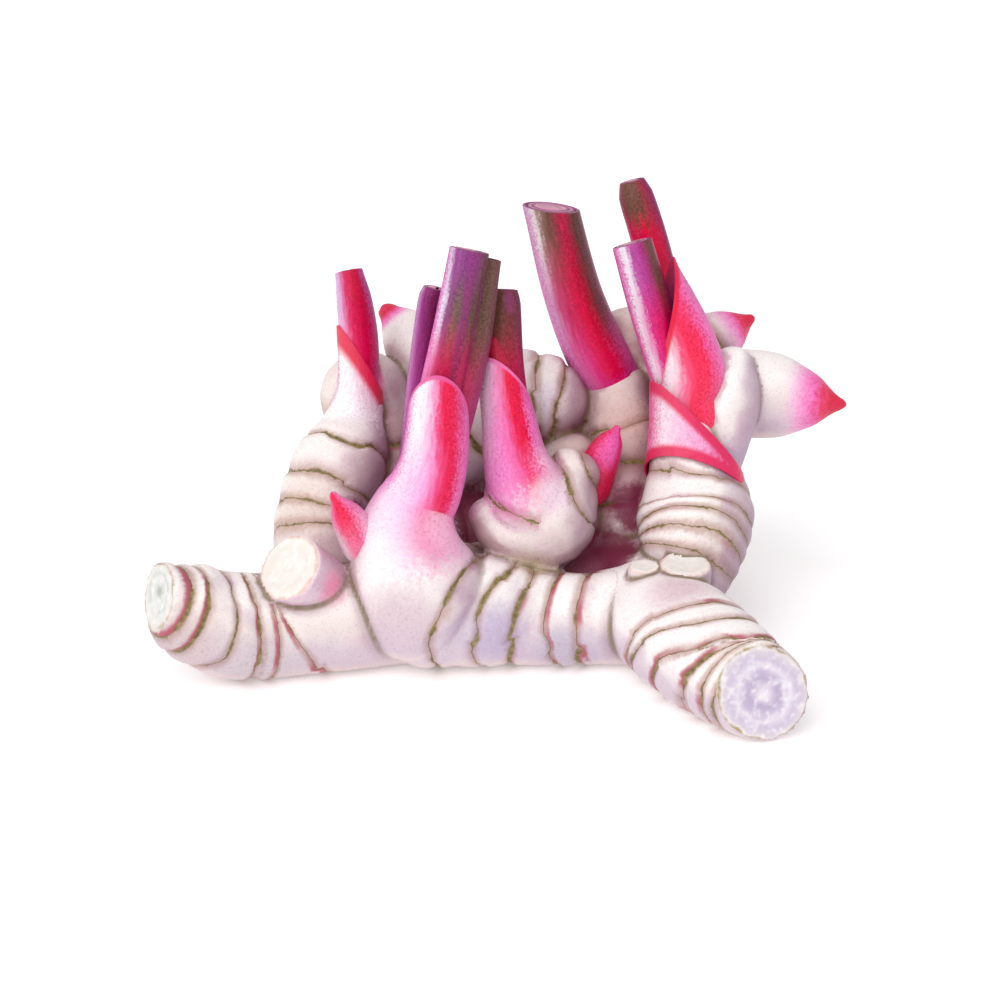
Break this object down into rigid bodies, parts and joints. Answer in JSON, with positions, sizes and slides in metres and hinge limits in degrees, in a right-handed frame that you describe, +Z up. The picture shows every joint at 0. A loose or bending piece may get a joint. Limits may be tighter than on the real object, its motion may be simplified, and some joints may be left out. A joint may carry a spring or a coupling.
{
  "type": "galangal root",
  "caption": "Fresh galangal rhizome clump with ringed pale branches, cut ends, pale buds and cut pink shoots wrapped in leaf sheaths, resting on its underside.",
  "frame": {"origin": "on the resting surface, under the middle of the clump's bounding box", "axes": "+Z up from the surface, +X along the longest side from the cut left end to the pale right bud, -Y towards the cut front branch"},
  "size_m": [0.1785, 0.1248, 0.113],
  "materials": {
    "rhizome_skin": "smooth pale root skin, satin, with thin olive and crimson leaf scars",
    "pink_stem": "smooth fresh stem, glossy, magenta with a crimson stripe",
    "dark_stem": "smooth fresh stem, glossy, purple with olive streaks",
    "leaf_sheath": "smooth fresh leaf sheath, glossy, pink to crimson",
    "bud_scales": "smooth fresh bud scales, glossy crimson pink"
  },
  "bodies": {
    "root": {"rhizome": "rhizome_skin", "left_shoot_stem": "pink_stem", "front_shoot_stem": "pink_stem", "rear_left_stem": "dark_stem", "middle_shoot_stem": "dark_stem", "centre_shoot_stem": "pink_stem", "right_shoot_stem": "pink_stem", "back_right_stem": "dark_stem", "left_shoot_sheath": "leaf_sheath", "front_shoot_inner_leaf": "leaf_sheath", "front_shoot_sheath": "leaf_sheath", "middle_shoot_inner_leaf": "leaf_sheath", "middle_shoot_sheath": "leaf_sheath", "right_shoot_lower_sheath": "leaf_sheath", "right_shoot_upper_sheath": "leaf_sheath", "left_bud": "bud_scales", "centre_bud": "bud_scales"}
  },
  "joints": []
}
